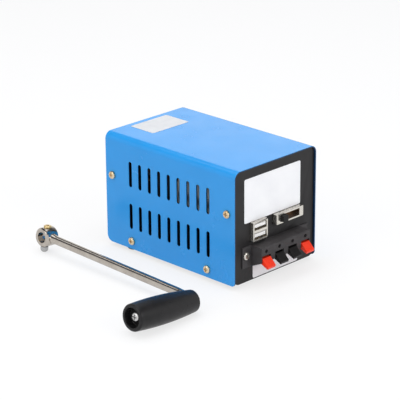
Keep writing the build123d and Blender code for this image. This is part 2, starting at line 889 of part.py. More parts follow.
with BuildPart() as brushes:
    for side in (-1, 1):
        brush_inner = commutator_radius + pin_play
        brush_outer = commutator_radius + brush_reach
        block(
            tuple(sorted((side * brush_inner, side * brush_outer))),
            (commutator_back_y - commutator_length + 0.8, commutator_back_y - 0.8),
            about(axle_z, brush_width),
        )
keep(brushes.part, "brushes")

with BuildPart() as rotor_bearings:
    for front_y, back_y in (
        (front_bearing_y, can_front_y + can_wall + 1.0),
        (can_back_y, case_front_y + case_plate),
    ):
        round_bar(front_y, back_y, rotor_bearing_radius)
        round_bar(front_y, back_y, rotor_shaft_radius + running_play, mode=Mode.SUBTRACT)
keep(rotor_bearings.part, "rotor_bearings")

rotor_end_y = first_wheel_y + gear_width + gear_gap / 2
with BuildPart() as rotor_shaft:
    round_bar(front_bearing_y - 1.0, rotor_end_y, rotor_shaft_radius)
keep(rotor_shaft.part, "rotor_shaft")


# ---- two-stage spur gearing, in mesh at rest ------------------------------------------------------
def gear_outline(teeth, first_tooth, back_y, x, z):
    """Involute gear facing the front; one tooth is centred on the direction first_tooth."""
    pitch_radius = gear_module * teeth / 2
    base_radius = pitch_radius * cos(radians(pressure_angle))
    tip_radius = pitch_radius + gear_module
    root_radius = pitch_radius - 1.25 * gear_module
    flank_start = max(base_radius, root_radius)

    def involute(radius):
        angle = acos(min(1.0, base_radius / radius))
        return tan(angle) - angle

    pitch_half = pi / (2 * teeth) - tooth_play / (2 * pitch_radius)

    def half_angle(radius):
        return pitch_half + involute(pitch_radius) - involute(radius)

    steps = 4
    flank = [flank_start + (tip_radius - flank_start) * step / steps for step in range(steps + 1)]
    if root_radius < flank_start:
        flank = [root_radius] + flank
    points = []
    for tooth in range(teeth):
        middle = radians(first_tooth) + 2 * pi * tooth / teeth
        rising = [(radius, middle - half_angle(max(radius, flank_start))) for radius in flank]
        falling = [(radius, middle + half_angle(max(radius, flank_start))) for radius in reversed(flank)]
        points += [(radius * cos(angle), radius * sin(angle)) for radius, angle in rising + falling]
    with BuildSketch(facing_front(back_y, x, z)) as outline:
        with BuildLine():
            Polyline(*points, close=True)
        make_face()
    return outline.sketch


def gear(teeth, first_tooth, front_y, x=0.0, z=axle_z):
    """Toothed wheel one gear width thick."""
    extrude(gear_outline(teeth, first_tooth, front_y + gear_width, x, z), amount=gear_width)


half_tooth = 180.0 / pinion_teeth
with BuildPart() as rotor_pinion:
    gear(pinion_teeth, idler_angle + half_tooth, first_wheel_y)
    round_bar(first_wheel_y, first_wheel_y + gear_width, rotor_shaft_radius + seat_play, mode=Mode.SUBTRACT)
keep(rotor_pinion.part, "rotor_pinion")

with BuildPart() as idler_gear:
    gear(wheel_teeth, idler_angle + 180.0, first_wheel_y, idler_x, idler_z)
    gear(pinion_teeth, idler_angle + 180.0 + half_tooth, second_wheel_y, idler_x, idler_z)
    hub_span = (first_wheel_y + gear_width, second_wheel_y)
    round_bar(*hub_span, pinion_radius - 1.25 * gear_module, idler_x, idler_z)
    round_bar(case_front_y, case_end_y, idler_axle_radius + running_play, idler_x, idler_z, Mode.SUBTRACT)
keep(idler_gear.part, "idler_gear")

with BuildPart() as idler_axle:
    round_bar(case_front_y + 1.0, case_end_y - 1.0, idler_axle_radius, idler_x, idler_z)
keep(idler_axle.part, "idler_axle")

with BuildPart() as input_gear:
    gear(wheel_teeth, idler_angle, second_wheel_y)
    round_bar(second_wheel_y, second_wheel_y + gear_width, journal_radius + seat_play, mode=Mode.SUBTRACT)
keep(input_gear.part, "input_gear")

with BuildPart() as input_shaft:
    round_bar(second_wheel_y, journal_end_y, journal_radius)
    round_bar(journal_end_y, journal_end_y + relief_width, shaft_radius - relief_depth)
    round_bar(journal_end_y + relief_width, shaft_end_y, shaft_radius)
    chamfer(input_shaft.edges().filter_by(GeomType.CIRCLE).sort_by(Axis.Y)[-1], 0.6)
    block(
        (-shaft_radius, shaft_radius),
        (shaft_end_y - shaft_flat_length, shaft_end_y),
        (axle_z + shaft_radius - shaft_flat, axle_z + shaft_radius),
        Mode.SUBTRACT,
    )
keep(input_shaft.part, "input_shaft")


# ---- gear case: cast cup and lid, round both gear centres -----------------------------------------
def case_section(plane_y, radius):
    """Stadium round the drive shaft's axis and the idler's axis."""
    with BuildSketch(facing_front(plane_y, idler_x / 2, (axle_z + idler_z) / 2)) as outline:
        SlotCenterToCenter(centre_distance, 2 * radius, rotation=idler_angle)
    return outline.sketch


case_bore = case_radius - case_wall
with BuildPart() as gear_case:
    extrude(case_section(case_back_y, case_radius), amount=case_back_y - case_front_y)
    block(
        about(idler_x, case_foot_width),
        (case_front_y, case_back_y),
        (floor_z, idler_z - case_radius * 0.6),
    )
    cup_depth = case_back_y - case_front_y - case_plate
    extrude(case_section(case_back_y, case_bore), amount=cup_depth, mode=Mode.SUBTRACT)
    round_bar(case_front_y, case_front_y + case_plate, rotor_bearing_radius + seat_play, mode=Mode.SUBTRACT)
    round_bar(case_front_y + 1.0, case_front_y + case_plate, idler_axle_radius + seat_play, idler_x, idler_z,
              Mode.SUBTRACT)
    for x, y in base_screw_spots[2:]:
        with BuildSketch(Plane.XY.offset(floor_z)):
            with Locations((x, y)):
                Circle(screw_radius + seat_play)
        extrude(amount=base_screw_length - chassis_sheet, mode=Mode.SUBTRACT)
keep(gear_case.part, "gear_case")

rim_radius = case_radius - case_wall / 2
case_screw_spots = []
for turn in (60, 120, 180):
    angle = radians(idler_angle + 30.0 + turn)
    case_screw_spots.append((rim_radius * cos(angle), axle_z + rim_radius * sin(angle)))
    case_screw_spots.append((idler_x - rim_radius * cos(angle), idler_z - rim_radius * sin(angle)))

with BuildPart() as case_cover:
    extrude(case_section(case_end_y, case_radius), amount=case_plate)
    round_bar(case_end_y, bearing_end_y, shaft_bearing_radius + 2.0)
    round_bar(case_back_y, bearing_end_y, shaft_bearing_radius, mode=Mode.SUBTRACT)
    round_bar(case_back_y, case_end_y - 1.0, idler_axle_radius + seat_play, idler_x, idler_z, Mode.SUBTRACT)
    for x, z in case_screw_spots:
        round_bar(case_back_y, case_end_y, case_screw_radius + seat_play, x, z, Mode.SUBTRACT)
keep(case_cover.part, "case_cover")

case_screw = pan_screw(case_screw_head_radius, case_screw_head_height, case_screw_radius, case_plate)
with BuildPart() as case_screws:
    for x, z in case_screw_spots:
        with Locations(Plane(origin=(x, case_end_y, z), x_dir=(1, 0, 0), z_dir=(0, 1, 0))):
            add(case_screw)
keep(case_screws.part, "case_screws")

with BuildPart() as shaft_bearing:
    round_bar(case_back_y, bearing_end_y, shaft_bearing_radius)
    round_bar(case_back_y, bearing_end_y, journal_radius + running_play, mode=Mode.SUBTRACT)
keep(shaft_bearing.part, "shaft_bearing")

bush_front_y = panel_reach + bush_flange - bush_length
with BuildPart() as shaft_bush:
    round_bar(bush_front_y, panel_reach, bush_radius)
    round_bar(panel_reach, panel_reach + bush_flange, bush_flange_radius)
    chamfer(shaft_bush.edges().filter_by(GeomType.CIRCLE).group_by(Axis.Y)[-1], 0.6)
    round_bar(bush_front_y, panel_reach + bush_flange, journal_radius + running_play, mode=Mode.SUBTRACT)
keep(shaft_bush.part, "shaft_bush")

# ---- cradle under the generator, and the screws up through the floor ------------------------------
cradle_front_y = can_front_y + cradle_front_gap
with BuildPart() as generator_cradle:
    block(
        (-can_radius * 0.8, can_radius * 0.8),
        (cradle_front_y, cradle_front_y + cradle_depth),
        (floor_z, axle_z - can_radius * 0.75),
    )
    round_bar(cradle_front_y, cradle_front_y + cradle_depth, can_radius, mode=Mode.SUBTRACT)
    for x, y in base_screw_spots[:2]:
        with BuildSketch(Plane.XY.offset(floor_z)):
            with Locations((x, y)):
                Circle(screw_radius + seat_play)
        extrude(amount=base_screw_length - chassis_sheet, mode=Mode.SUBTRACT)
keep(generator_cradle.part, "generator_cradle")

base_screw = pan_screw(screw_head_radius, base_screw_head_height, screw_radius, base_screw_length)
with BuildPart() as base_screws:
    for x, y in base_screw_spots:
        with Locations(Plane(origin=(x, y, base_z), z_dir=(0, 0, -1))):
            add(base_screw)
keep(base_screws.part, "base_screws")

# ---- crank: lies on the table on its lower set screw and the barrel of its grip -------------------
roll = radians(crank_roll)
screw_foot = hub_radius + lower_screw_reach
hub_height = screw_foot * cos(roll) + (set_screw_head_radius - lower_screw_offset) * sin(roll)
belly_rise = grip_belly_radius - grip_inner_radius
barrel_radius = (grip_belly_place ** 2 + belly_rise ** 2) / (2 * belly_rise)
barrel_axis = grip_belly_radius - barrel_radius
grip_outer_radius = barrel_axis + sqrt(barrel_radius ** 2 - (grip_length - grip_belly_place) ** 2)
grip_start = eye_thickness / 2 + grip_washer_thickness + grip_play
grip_start_height = barrel_radius + barrel_axis * cos(roll) - grip_belly_place * sin(roll)
arm_end_height = grip_start_height - (eye_offset + grip_start) * sin(roll)
pitch = asin((hub_height - arm_end_height) / crank_radius)
hub_centre = Vector(-half_width - crank_aside, half_length + crank_behind, hub_height)
along = Vector(0, -cos(pitch), -sin(pitch))
upward = Vector(sin(roll), -sin(pitch) * cos(roll), cos(pitch) * cos(roll))
outward = upward.cross(along) * -1
side_on = Plane(origin=hub_centre, x_dir=along, z_dir=outward)
end_on = Plane(origin=hub_centre, x_dir=outward, z_dir=along)
eye_centre = hub_centre + along * crank_radius + outward * eye_offset
eye_plane = Plane(origin=eye_centre, x_dir=along, z_dir=outward)
upper_seat = hub_centre + upward * hub_radius
lower_seat = hub_centre - upward * hub_radius + outward * lower_screw_offset

with BuildPart() as crank_hub:
    with BuildSketch(side_on.offset(-hub_length / 2)):
        Circle(hub_radius)
    extrude(amount=hub_length)
    chamfer(crank_hub.edges().filter_by(GeomType.CIRCLE), hub_chamfer)
    with BuildSketch(side_on.offset(-hub_length / 2)):
        Circle(shaft_radius + hub_bore_play)
    extrude(amount=hub_length, mode=Mode.SUBTRACT)
    for side, seat in ((1, upper_seat), (-1, lower_seat)):
        with BuildSketch(Plane(origin=seat, x_dir=along, z_dir=upward * side)):
            Circle(set_screw_radius + seat_play)
        extrude(amount=-hub_radius, mode=Mode.SUBTRACT)
keep(crank_hub.part, "crank_hub")

rod_end = crank_radius - eye_length - eye_taper
with BuildPart() as crank_arm:
    with BuildSketch(end_on):
        Circle(arm_rod_radius)
    extrude(amount=rod_end)
    with BuildSketch(end_on.offset(hub_radius * 0.5)):
        Circle(flare_radius)
    with BuildSketch(end_on.offset(hub_radius + flare_length)):
        Circle(arm_rod_radius)
    loft()
    with BuildSketch(end_on.offset(rod_end)):
        Circle(arm_rod_radius)
    with BuildSketch(end_on.offset(rod_end + eye_taper)):
        with Locations((eye_offset, 0)):
            RectangleRounded(eye_thickness, eye_width, eye_thickness * 0.4)
    loft()
    with BuildSketch(eye_plane.offset(-eye_thickness / 2)):
        Circle(eye_width / 2)
        with Locations((-eye_length / 2, 0)):
            Rectangle(eye_length, eye_width)
    extrude(amount=eye_thickness)
    with BuildSketch(eye_plane.offset(-eye_thickness / 2)):
        Circle(grip_axle_radius * 0.8 + seat_play)
    extrude(amount=eye_thickness, mode=Mode.SUBTRACT)
    with BuildSketch(side_on.offset(-hub_length / 2)):
        Circle(hub_radius)
    extrude(amount=hub_length, mode=Mode.SUBTRACT)
keep(crank_arm.part, "crank_arm")

bore_radius = shaft_radius + hub_bore_play
upper_screw = pan_screw(set_screw_head_radius, upper_screw_reach, set_screw_radius, hub_radius - bore_radius)
lower_screw = pan_screw(set_screw_head_radius, lower_screw_reach, set_screw_radius, hub_radius - bore_radius)
with BuildPart() as set_screws:
    with Locations(Plane(origin=upper_seat, x_dir=along, z_dir=upward)):
        add(upper_screw)
    with Locations(Plane(origin=lower_seat, x_dir=along, z_dir=upward * -1)):
        add(lower_screw)
keep(set_screws.part, "set_screws")

# The grip is turned: a barrel that is fattest towards its outer end, bored for its axle.
grip_plane = Plane(origin=eye_centre + outward * grip_start, x_dir=outward, z_dir=along)
grip_axis = Axis(grip_plane.origin, outward)
with BuildPart() as grip:
    with BuildSketch(grip_plane):
        with BuildLine():
            barrel = ThreePointArc(
                (0, grip_inner_radius),
                (grip_belly_place, grip_belly_radius),
                (grip_length, grip_outer_radius),
            )
            Polyline((grip_length, grip_outer_radius), (grip_length, 0), (0, 0), (0, grip_inner_radius))
        make_face()
    revolve(axis=grip_axis)
    rims = grip.edges().filter_by(GeomType.CIRCLE).sort_by(grip_axis)
    fillet(rims[-1], grip_rim)
    fillet(rims[0], grip_rim * 0.6)
    with BuildSketch(Plane(origin=grip_plane.origin, x_dir=along, z_dir=outward)):
        Circle(grip_axle_radius + grip_bore_play)
    extrude(amount=grip_length, mode=Mode.SUBTRACT)
    with BuildSketch(Plane(origin=grip_plane.origin + outward * grip_length, x_dir=along, z_dir=outward)):
        Circle(grip_counterbore_radius)
    extrude(amount=-grip_counterbore_depth, mode=Mode.SUBTRACT)
keep(grip.part, "grip")

head_seat = grip_start + grip_length - grip_counterbore_depth + grip_play
grip_screw = pan_screw(
    grip_axle_head_radius, grip_axle_head_height, grip_axle_radius, head_seat - eye_thickness / 2
)
with BuildPart() as grip_axle:
    with Locations(Plane(origin=eye_centre + outward * head_seat, x_dir=along, z_dir=outward)):
        add(grip_screw)
    with BuildSketch(eye_plane.offset(-eye_thickness / 2)):
        Circle(grip_axle_radius * 0.8)
    extrude(amount=eye_thickness)
keep(grip_axle.part, "grip_axle")

with BuildPart() as grip_washer:
    with BuildSketch(eye_plane.offset(eye_thickness / 2)):
        Circle(grip_washer_radius)
        Circle(grip_axle_radius + seat_play, mode=Mode.SUBTRACT)
    extrude(amount=grip_washer_thickness)
keep(grip_washer.part, "grip_washer")

# ---- the part's own origin: on the table, under the middle of everything --------------------------
boxes = [piece.bounding_box() for piece in pieces]
low = [min(tuple(box.min)[axis] for box in boxes) for axis in range(3)]
high = [max(tuple(box.max)[axis] for box in boxes) for axis in range(3)]
origin = ((low[0] + high[0]) / 2, (low[1] + high[1]) / 2, low[2])
to_origin = Location((-origin[0], -origin[1], -origin[2]))

os.makedirs("parts", exist_ok=True)
for piece in pieces:
    export_step(to_origin * piece, f"parts/{piece.label}.step")

print("pieces", len(pieces))
print("origin in the cabinet's frame", [round(value, 4) for value in origin])
print("whole size", [round(high[axis] - low[axis], 3) for axis in range(3)])
print("shaft height", round(axle_z, 4), "idler", round(idler_x, 4), round(idler_z, 4))
print("hub centre", [round(value, 4) for value in hub_centre])
print("eye centre", [round(value, 4) for value in eye_centre])
print("outward", [round(value, 6) for value in outward])
print("lever pivot", round(pivot_y, 4), round(pivot_z, 4), [round(x, 3) for x in lever_places])
print("knob travel", round(knob_travel, 4))
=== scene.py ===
import json
from math import radians

import bmesh
import bpy
from mathutils import Matrix, Vector


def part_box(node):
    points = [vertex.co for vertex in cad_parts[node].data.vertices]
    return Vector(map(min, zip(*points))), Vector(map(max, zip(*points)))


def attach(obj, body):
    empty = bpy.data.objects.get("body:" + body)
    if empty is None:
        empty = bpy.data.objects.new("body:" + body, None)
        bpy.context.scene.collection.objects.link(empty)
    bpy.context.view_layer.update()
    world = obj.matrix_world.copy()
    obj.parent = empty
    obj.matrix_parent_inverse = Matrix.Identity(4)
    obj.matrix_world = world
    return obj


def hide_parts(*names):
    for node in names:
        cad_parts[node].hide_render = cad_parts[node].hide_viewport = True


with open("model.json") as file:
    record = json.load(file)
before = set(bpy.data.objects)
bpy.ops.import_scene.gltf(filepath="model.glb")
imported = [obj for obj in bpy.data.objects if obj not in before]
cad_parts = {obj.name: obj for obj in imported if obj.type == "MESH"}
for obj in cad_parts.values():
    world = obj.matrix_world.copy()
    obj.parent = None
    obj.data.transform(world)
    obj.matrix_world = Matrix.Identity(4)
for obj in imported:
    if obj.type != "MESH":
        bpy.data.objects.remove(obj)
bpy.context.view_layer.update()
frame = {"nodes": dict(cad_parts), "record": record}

# ---- chassis ------------------------------------------------------------------------------------
# Tray folded from 1.2 mm sheet: floor, front and rear panels and side flanges in one piece.
# It is sprayed with a satin near-black enamel, so its cut edges are slightly rounded by paint.
mm = 0.001
nodes = frame["nodes"]
record = frame["record"]
body_of = {}
for body, members in record["behaviour"]["bodies"].items():
    for node in members:
        body_of[node] = body


def shader_of(name):
    """New material with its node tree, its principled shader and its object coordinates."""
    material = bpy.data.materials.new(name)
    material.use_nodes = True
    tree = material.node_tree
    places = tree.nodes.new("ShaderNodeTexCoord")
    return material, tree, tree.nodes["Principled BSDF"], places.outputs["Object"]


def noise(tree, places, cells, detail, rough=0.55, stretch=None):
    """Noise of so many cells per metre, drawn out along an axis if asked."""
    if stretch:
        mapping = tree.nodes.new("ShaderNodeMapping")
        mapping.inputs["Scale"].default_value = stretch
        tree.links.new(places, mapping.inputs["Vector"])
        places = mapping.outputs["Vector"]
    grain = tree.nodes.new("ShaderNodeTexNoise")
    grain.inputs["Scale"].default_value = cells
    grain.inputs["Detail"].default_value = detail
    grain.inputs["Roughness"].default_value = rough
    tree.links.new(places, grain.inputs["Vector"])
    return grain.outputs["Fac"]


def spread(tree, value, low, high, near=0.3, far=0.7):
    """Maps a value from near..far to low..high."""
    ranged = tree.nodes.new("ShaderNodeMapRange")
    ranged.inputs["From Min"].default_value = near
    ranged.inputs["From Max"].default_value = far
    ranged.inputs["To Min"].default_value = low
    ranged.inputs["To Max"].default_value = high
    tree.links.new(value, ranged.inputs["Value"])
    return ranged.outputs["Result"]


def tinted(tree, shader, value, dark, light):
    """Base colour that wanders between two tones."""
    ramp = tree.nodes.new("ShaderNodeValToRGB")
    for end, position, tone in ((0, 0.3, dark), (1, 0.7, light)):
        ramp.color_ramp.elements[end].position = position
        ramp.color_ramp.elements[end].color = (*tone, 1)
    tree.links.new(value, ramp.inputs["Fac"])
    tree.links.new(ramp.outputs["Color"], shader.inputs["Base Color"])


def polished(tree, shader, value, low, high):
    """Roughness that wanders between two levels."""
    tree.links.new(spread(tree, value, low, high), shader.inputs["Roughness"])


def bumped(tree, shader, value, depth):
    """Bump of so many millimetres of depth."""
    bump = tree.nodes.new("ShaderNodeBump")
    bump.inputs["Strength"].default_value = 1.0
    bump.inputs["Distance"].default_value = depth * mm
    tree.links.new(value, bump.inputs["Height"])
    tree.links.new(bump.outputs["Normal"], shader.inputs["Normal"])


def enamel(name, dark, light, gloss, peel, level):
    """Sprayed enamel: even colour, faint smudges in its gloss, and orange peel if it has any."""
    material, tree, shader, places = shader_of(name)
    tinted(tree, shader, noise(tree, places, cells=22, detail=4), dark, light)
    polished(tree, shader, noise(tree, places, cells=60, detail=5), gloss * 0.8, gloss * 1.3)
    if peel:
        bumped(tree, shader, noise(tree, places, cells=380, detail=1, rough=0.3), peel)
    shader.inputs["Specular IOR Level"].default_value = level
    return material


def soften(node, width, material, segments=2, angle=35):
    """Stands in for a solid with a copy whose sharp edges are rounded by so many millimetres."""
    weld_distance, flat_angle = 2e-6, 0.6
    mesh = nodes[node].data.copy()
    shape = bmesh.new()
    shape.from_mesh(mesh)
    bmesh.ops.remove_doubles(shape, verts=shape.verts, dist=weld_distance)
    bmesh.ops.dissolve_limit(
        shape, angle_limit=radians(flat_angle), verts=shape.verts, edges=shape.edges
    )
    for face in shape.faces:
        face.smooth = True
    shape.to_mesh(mesh)
    shape.free()
    mesh.materials.clear()
    mesh.materials.append(material)
    piece = bpy.data.objects.new(node + "_finished", mesh)
    bpy.context.scene.collection.objects.link(piece)
    bevel = piece.modifiers.new("edges", "BEVEL")
    bevel.width = width * mm
    bevel.segments = segments
    bevel.limit_method = "ANGLE"
    bevel.angle_limit = radians(angle)
    bevel.use_clamp_overlap = True
    bevel.miter_outer = "MITER_ARC"
    mesh.set_sharp_from_angle(angle=radians(angle))
    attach(piece, body_of[node])
    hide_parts(node)


black_enamel = enamel(
    "black enamel", (0.0115, 0.0105, 0.0112), (0.0155, 0.0142, 0.0150),
    gloss=0.42, peel=0.005, level=0.27,
)
soften("chassis", 0.3, black_enamel)

# ---- feet ---------------------------------------------------------------------------------------
# Four round discs moulded in black rubber and stuck under the floor of the chassis.
# The rubber is matt and picks up dust.


def finish(material, *names):
    """Gives solids that keep their shape their finish."""
    for name in names:
        nodes[name].material_slots[0].material = material


def moulded(name, dark, light, rough, grain, depth, level=0.5):
    """Moulded plastic or rubber: fine eroded mould grain, uneven sheen."""
    material, tree, shader, places = shader_of(name)
    tinted(tree, shader, noise(tree, places, cells=120, detail=4), dark, light)
    sheen = noise(tree, places, cells=260, detail=4)
    polished(tree, shader, sheen, rough * 0.85, min(rough * 1.2, 1.0))
    bumped(tree, shader, noise(tree, places, cells=grain, detail=2, rough=0.6), depth)
    shader.inputs["Specular IOR Level"].default_value = level
    return material


foot_rubber = moulded(
    "foot rubber", (0.018, 0.018, 0.018), (0.030, 0.029, 0.028), rough=0.85, grain=1800, depth=0.03
)
finish(foot_rubber, "feet")

# ---- generator ----------------------------------------------------------------------------------
# Direct-current generator in a can drawn from zinc-plated steel, closed by a white nylon end bell.
# Two ferrite magnets line the can, carbon brushes press on the commutator, and sintered bronze
# bearings carry the shaft.


def bare_metal(name, dark, light, rough, marks, stretch, depth=0.004, metallic=1.0):
    """Metal with tool marks drawn along an axis, under a plate whose polish is patchy."""
    material, tree, shader, places = shader_of(name)
    tinted(tree, shader, noise(tree, places, cells=160, detail=4), dark, light)
    shader.inputs["Metallic"].default_value = metallic
    polish = noise(tree, places, cells=marks, detail=4, rough=0.6, stretch=stretch)
    polished(tree, shader, polish, rough * 0.7, rough * 1.35)
    tool_marks = noise(tree, places, cells=marks, detail=2, rough=0.5, stretch=stretch)
    bumped(tree, shader, tool_marks, depth)
    return material


even = (1, 1, 1)
zinc_can = bare_metal(
    "zinc plated can", (0.36, 0.40, 0.45), (0.50, 0.54, 0.58),
    rough=0.34, marks=900, stretch=(1, 0.08, 1),
)
nylon = moulded(
    "white nylon", (0.62, 0.61, 0.56), (0.72, 0.71, 0.66), rough=0.5, grain=900, depth=0.01
)
ferrite = moulded(
    "dark ferrite", (0.035, 0.035, 0.038), (0.06, 0.06, 0.062), rough=0.6, grain=1500, depth=0.05
)
carbon = moulded(
    "carbon", (0.03, 0.03, 0.03), (0.05, 0.05, 0.05), rough=0.6, grain=2500, depth=0.03
)
bronze = bare_metal(
    "sintered bronze", (0.40, 0.28, 0.15), (0.52, 0.38, 0.22),
    rough=0.5, marks=1600, stretch=even, depth=0.02,
)
finish(zinc_can, "generator_can")
finish(nylon, "end_bell")
finish(ferrite, "magnets")
finish(carbon, "brushes")
finish(bronze, "rotor_bearings")

# ---- rotor --------------------------------------------------------------------------------------
# Core of stacked steel sheet pressed on a ground shaft, wound with enamelled copper wire.
# The wire ends at the copper bars of the commutator.
core_steel = bare_metal(
    "stacked core sheet", (0.22, 0.22, 0.23), (0.32, 0.32, 0.33),
    rough=0.5, marks=2200, stretch=(0.05, 1, 0.05), depth=0.05,
)
copper = bare_metal(
    "enamelled copper", (0.50, 0.20, 0.08), (0.66, 0.30, 0.14),
    rough=0.32, marks=1500, stretch=(1, 0.1, 1),
)
bright_steel = bare_metal(
    "bright steel", (0.50, 0.50, 0.50), (0.62, 0.61, 0.60),
    rough=0.28, marks=1200, stretch=(1, 0.1, 1),
)
finish(core_steel, "rotor_core")
finish(copper, "rotor_winding", "commutator")
finish(bright_steel, "rotor_shaft")

# ---- gearing ------------------------------------------------------------------------------------
# Two stages of cut spur gears between the drive shaft and the rotor, with a brass pinion on the
# rotor. They run in a case moulded in black nylon, whose cover is held by steel screws.
brass = bare_metal(
    "turned brass", (0.60, 0.45, 0.20), (0.74, 0.58, 0.30),
    rough=0.28, marks=1200, stretch=(1, 1, 0.15),
)
gear_steel = bare_metal(
    "gear steel", (0.36, 0.36, 0.37), (0.48, 0.48, 0.48),
    rough=0.36, marks=1200, stretch=(0.2, 1, 0.2),
)
black_nylon = moulded(
    "black nylon", (0.012, 0.012, 0.013), (0.020, 0.020, 0.021),
    rough=0.6, grain=1500, depth=0.02, level=0.3,
)
finish(brass, "rotor_pinion")
finish(gear_steel, "idler_gear", "input_gear")
finish(bright_steel, "idler_axle", "case_screws")
finish(bronze, "shaft_bearing")
finish(black_nylon, "gear_case", "case_cover")

# ---- generator cradle ---------------------------------------------------------------------------
# Saddle cast in a grey alloy that the generator lies in, as rough as its mould left it.
# Bright steel screws hold it from below, through the floor of the chassis.
cast_alloy = bare_metal(
    "cast alloy", (0.40, 0.40, 0.41), (0.52, 0.52, 0.52),
    rough=0.55, marks=700, stretch=even, depth=0.03,
)
finish(cast_alloy, "generator_cradle")
finish(bright_steel, "base_screws")

# ---- circuit board ------------------------------------------------------------------------------
# Green laminate on brass pillars, held by steel screws. It carries a sleeved capacitor,
# a drum of ferrite that stands for the inductor, and a rectifier and a regulator moulded in black.
laminate = moulded(
    "board laminate", (0.02, 0.12, 0.05), (0.03, 0.16, 0.07), rough=0.4, grain=1500, depth=0.01
)
sleeve = moulded(
    "capacitor sleeve", (0.02, 0.03, 0.10), (0.03, 0.045, 0.13), rough=0.3, grain=900, depth=0.004
)
black_package = moulded(
    "black package", (0.02, 0.02, 0.02), (0.035, 0.035, 0.035), rough=0.55, grain=2500, depth=0.02
)
finish(laminate, "circuit_board")
finish(brass, "board_pillars")
finish(bright_steel, "board_screws")
finish(sleeve, "capacitor")
finish(ferrite, "inductor")
finish(black_package, "rectifier", "regulator")

# ---- drive shaft and its bush -------------------------------------------------------------------
# Ground 8 mm steel shaft with a milled flat that the crank's screws bear on.
# It turns in a flanged bronze bush pressed into the rear panel.
soften("input_shaft", 0.15, bright_steel)
soften("shaft_bush", 0.2, bronze)

# ---- spring terminal ----------------------------------------------------------------------------
# Black moulded block on an eared plate, screwed to the front panel, its mould lightly eroded.
# Inside are the steel rod that the levers turn on, tinned contact strips and steel leaf springs.
black_moulding = moulded(
    "black moulding", (0.048, 0.045, 0.046), (0.062, 0.058, 0.060),
    rough=0.50, grain=1600, depth=0.006, level=0.12,
)
tinned = bare_metal(
    "tinned wire", (0.66, 0.66, 0.66), (0.78, 0.78, 0.78),
    rough=0.3, marks=1200, stretch=(1, 1, 0.1),
)
soften("terminal_body", 0.35, black_moulding)
finish(bright_steel, "lever_rod", "lever_springs")
finish(tinned, "terminal_contacts")

# ---- push levers --------------------------------------------------------------------------------
# Glossy moulded levers, red outside and black inside, each a finger pad on a rounded root.
# The root is bored for the rod, and the pad is pushed down to open the contact.
red_lever = moulded(
    "red lever", (0.80, 0.030, 0.006), (0.88, 0.040, 0.009),
    rough=0.30, grain=700, depth=0.003, level=0.4,
)
black_lever = moulded(
    "black lever", (0.007, 0.006, 0.006), (0.011, 0.010, 0.010),
    rough=0.34, grain=700, depth=0.003, level=0.2,
)
for lever, colour in (
    ("lever_red_left", red_lever),
    ("lever_black_left", black_lever),
    ("lever_black_right", black_lever),
    ("lever_red_right", red_lever),
):
    soften(lever, 0.4, colour, segments=3)

# ---- terminal screws ----------------------------------------------------------------------------
# Nickel-plated pan-head screws in the terminal's two ears.
# The plate is smooth enough to mirror the dark panel round it.
nickel = bare_metal(
    "nickel plate", (0.60, 0.57, 0.52), (0.72, 0.69, 0.63),
    rough=0.20, marks=1400, stretch=(1, 1, 0.2), metallic=0.9,
)
soften("terminal_screws", 0.12, nickel)

# ---- double charging socket ---------------------------------------------------------------------
# Shell folded from nickel-plated strip, which stands out of the panel by a few millimetres.
# It holds a white insulator with two tongues, which carry gilt contact strips.
white_insulator = moulded(
    "white insulator", (0.88, 0.86, 0.83), (0.94, 0.92, 0.90), rough=0.35, grain=900, depth=0.004
)
gilt = bare_metal(
    "gilt contact", (0.80, 0.60, 0.25), (0.90, 0.70, 0.34),
    rough=0.25, marks=1500, stretch=(1, 0.1, 1),
)
soften("usb_shell", 0.12, nickel)
finish(white_insulator, "usb_insulator")
finish(gilt, "usb_contacts")

# ---- slide switch -------------------------------------------------------------------------------
# Frame folded from nickel-plated strip over a brown laminate base, with a black moulded knob.
# Tinned pins go down from the base to the board.
phenolic = moulded(
    "brown laminate", (0.10, 0.045, 0.018), (0.16, 0.075, 0.03), rough=0.6, grain=1500, depth=0.02
)
black_knob = moulded(
    "black knob", (0.008, 0.008, 0.008), (0.013, 0.013, 0.013),
    rough=0.45, grain=1500, depth=0.008, level=0.2,
)
soften("switch_frame", 0.12, nickel)
finish(phenolic, "switch_base")
finish(tinned, "switch_pins")
soften("switch_knob", 0.2, black_knob)

# ---- stickers -----------------------------------------------------------------------------------
# Blank self-adhesive labels. The two on the front panel are of white paper under a satin film,
# slightly uneven where they lie on the paint, and the one on the cover is of greyer film.
blank_label, tree, shader, places = shader_of("blank label")
tone = noise(tree, places, cells=60, detail=4)
tinted(tree, shader, tone, (0.86, 0.86, 0.88), (0.92, 0.92, 0.93))
polished(tree, shader, noise(tree, places, cells=90, detail=4), 0.35, 0.5)
bumped(tree, shader, noise(tree, places, cells=180, detail=2), 0.02)
top_film = moulded(
    "top label film", (0.60, 0.61, 0.63), (0.66, 0.67, 0.69),
    rough=0.5, grain=900, depth=0.003, level=0.3,
)
finish(blank_label, "main_label", "lower_label")
finish(top_film, "top_label")

# ---- cover --------------------------------------------------------------------------------------
# Upturned U bent from 1 mm sheet, punched with slots and sprayed with gloss blue enamel.
# Its inner face and its cut edges get a dark navy base colour instead of the blue, which is
# painted shade.
outer_bend = 5.5 * mm
# The sheet keeps the blue only within this depth of its outer surface; deeper it gets a dark navy
# colour, which is painted shade.
unshaded_skin_depth = 0.2 * mm
# Base colour of the painted shade on the cover's inner face and cut edges.
painted_inner_shade = (0.004, 0.030, 0.085)


def math_node(tree, operation, first, second=None):
    """Result of one arithmetic step on sockets or numbers."""
    step = tree.nodes.new("ShaderNodeMath")
    step.operation = operation
    for slot, value in enumerate((first, second)):
        if isinstance(value, (int, float)):
            step.inputs[slot].default_value = value
        elif value is not None:
            tree.links.new(value, step.inputs[slot])
    return step.outputs[0]


